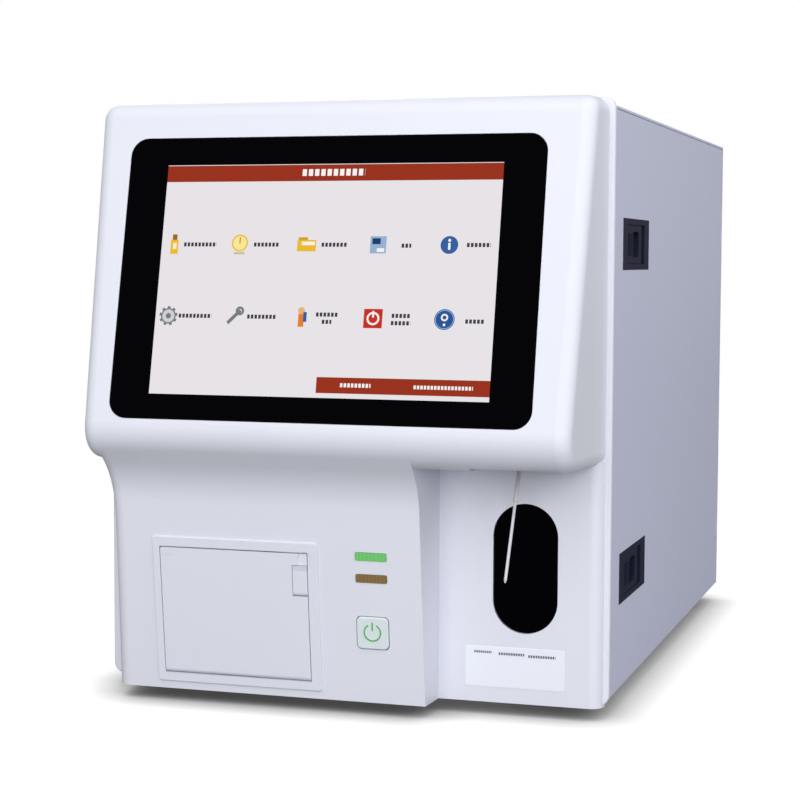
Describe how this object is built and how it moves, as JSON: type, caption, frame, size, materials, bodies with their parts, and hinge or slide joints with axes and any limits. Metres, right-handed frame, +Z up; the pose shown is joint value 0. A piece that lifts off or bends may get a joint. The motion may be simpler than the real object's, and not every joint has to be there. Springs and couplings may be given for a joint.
{
  "type": "bench-top hematology analyzer",
  "caption": "Bench-top blood cell analyzer with a leaning touch screen hood, strip printer, sampling needle over a start key, and a latched service door on its right side.",
  "frame": {"origin": "on the bench under the middle of the overall box", "axes": "+X to the analyzer's right seen from its front, +Y to its rear, +Z up"},
  "size_m": [0.329, 0.5413, 0.376],
  "materials": {
    "panel_plastic": "fine satin moulding",
    "screen_glass": "polished",
    "bright_metal": "plain",
    "zinc_plate": "zinc plated",
    "green_board": "solder mask",
    "printer_plastic": "satin",
    "roller_rubber": "ground",
    "paper": "paper",
    "green_lens": "moulded lens",
    "amber_lens": "moulded lens, unlit",
    "button_plastic": "satin",
    "key_black": "polished",
    "dark_plastic": "moulded",
    "needle_steel": "polished stainless",
    "machined_block": "machined",
    "motor_black": "satin black",
    "clear_acrylic": "milky acetal",
    "cabinet_paint": "powder coat",
    "foot_rubber": "moulded",
    "latch_plastic": "textured",
    "screw_steel": "nickel plated",
    "barrel_glass": "ground",
    "seal_white": "turned",
    "manifold_acrylic": "machined acrylic",
    "valve_black": "moulded coil"
  },
  "bodies": {
    "cabinet": {"front_panel": "panel_plastic", "touch_glass": "screen_glass", "lcd_module": "bright_metal", "display_bracket": "zinc_plate", "display_board": "green_board", "printer_frame": "printer_plastic", "print_head": "bright_metal", "paper_roll": "paper", "green_light": "green_lens", "amber_light": "amber_lens", "key_board": "green_board", "key_carrier": "dark_plastic", "aspirate_switch": "dark_plastic", "probe_bracket": "zinc_plate", "guide_rods": "needle_steel", "lift_motor": "motor_black", "wipe_block": "clear_acrylic", "front_frame": "zinc_plate", "base_tray": "cabinet_paint", "feet": "foot_rubber", "left_side_panel": "cabinet_paint", "top_cover": "cabinet_paint", "rear_panel": "cabinet_paint", "partition": "zinc_plate", "hinge_pins": "needle_steel", "cover_screws": "screw_steel", "bath_bracket": "zinc_plate", "white_cell_bath": "clear_acrylic", "red_cell_bath": "clear_acrylic", "syringe_frame": "machined_block", "syringe_motors": "motor_black", "syringe_barrels": "barrel_glass", "valve_manifold": "manifold_acrylic", "solenoid_valves": "valve_black", "vacuum_chamber": "manifold_acrylic", "pump_body": "valve_black", "main_board": "green_board", "power_supply": "bright_metal", "fan_housing": "dark_plastic", "fan_guard": "screw_steel", "power_inlet": "dark_plastic", "tube_ports": "machined_block", "interface_sockets": "dark_plastic"},
    "printer_door": {"printer_door": "printer_plastic"},
    "platen": {"platen_roller": "roller_rubber"},
    "printer_lever": {"printer_lever": "printer_plastic"},
    "power_button": {"power_button": "button_plastic"},
    "aspirate_key": {"aspirate_key": "key_black"},
    "probe": {"probe_carriage": "machined_block", "probe_needle": "needle_steel"},
    "lift_screw": {"lift_screw": "needle_steel"},
    "side_door": {"right_side_door": "cabinet_paint", "latch_housings": "latch_plastic"},
    "upper_latch": {"upper_latch_slide": "latch_plastic"},
    "lower_latch": {"lower_latch_slide": "latch_plastic"},
    "diluent_plunger": {"diluent_plunger": "seal_white"},
    "sample_plunger": {"sample_plunger": "seal_white"},
    "pump_rotor": {"pump_rotor": "seal_white"},
    "fan_rotor": {"fan_rotor": "dark_plastic"},
    "power_rocker": {"power_rocker": "valve_black"}
  },
  "joints": [
    {"name": "printer_door_hinge", "type": "hinge", "parent": "cabinet", "child": "printer_door", "pos_m": [-0.0626, -0.23357, 0.02168], "axis": [1, 0, 0], "range_deg": [0, 85]},
    {"name": "platen_spin", "type": "hinge", "parent": "printer_door", "child": "platen", "pos_m": [-0.0626, -0.23386, 0.09159], "axis": [1, 0, 0], "continuous": true},
    {"name": "printer_lever_hinge", "type": "hinge", "parent": "cabinet", "child": "printer_lever", "pos_m": [-0.0196, -0.24006, 0.07509], "axis": [1, 0, 0], "range_deg": [0, 25], "stiffness_Nm_per_rad": 0.02},
    {"name": "power_button_press", "type": "slide", "parent": "cabinet", "child": "power_button", "axis": [0, 0.9938, 0.1115], "range_m": [0, 0.002], "stiffness_N_per_m": 300},
    {"name": "aspirate_key_press", "type": "slide", "parent": "cabinet", "child": "aspirate_key", "axis": [0, 1, 0], "range_m": [0, 0.0025], "stiffness_N_per_m": 400},
    {"name": "probe_lift", "type": "slide", "parent": "cabinet", "child": "probe", "axis": [0, 0.4617, 0.887], "range_m": [0, 0.072]},
    {"name": "lift_screw_spin", "type": "hinge", "parent": "cabinet", "child": "lift_screw", "pos_m": [0.1135, -0.19866, 0.16901], "axis": [0, 0.4617, 0.887], "continuous": true},
    {"name": "side_door_hinge", "type": "hinge", "parent": "cabinet", "child": "side_door", "pos_m": [0.1605, 0.25016, 0.068], "axis": [0, 0, 1], "range_deg": [0, 95]},
    {"name": "upper_latch_slide", "type": "slide", "parent": "side_door", "child": "upper_latch", "axis": [0, 1, 0], "range_m": [0, 0.008], "stiffness_N_per_m": 150},
    {"name": "lower_latch_slide", "type": "slide", "parent": "side_door", "child": "lower_latch", "axis": [0, 1, 0], "range_m": [0, 0.008], "stiffness_N_per_m": 150},
    {"name": "diluent_plunger_stroke", "type": "slide", "parent": "cabinet", "child": "diluent_plunger", "axis": [0, 0, -1], "range_m": [0, 0.036]},
    {"name": "sample_plunger_stroke", "type": "slide", "parent": "cabinet", "child": "sample_plunger", "axis": [0, 0, -1], "range_m": [0, 0.036]},
    {"name": "pump_spin", "type": "hinge", "parent": "cabinet", "child": "pump_rotor", "pos_m": [0.0235, 0.15266, 0.118], "axis": [1, 0, 0], "continuous": true},
    {"name": "fan_spin", "type": "hinge", "parent": "cabinet", "child": "fan_rotor", "pos_m": [-0.07, 0.23016, 0.258], "axis": [0, 1, 0], "continuous": true},
    {"name": "power_rocker_hinge", "type": "hinge", "parent": "cabinet", "child": "power_rocker", "pos_m": [-0.12, 0.25266, 0.082], "axis": [1, 0, 0], "range_deg": [0, 20]}
  ],
  "couplings": [
    {"joint": "lift_screw_spin", "follows": "probe_lift", "rad_per_m": 785.4}
  ]
}
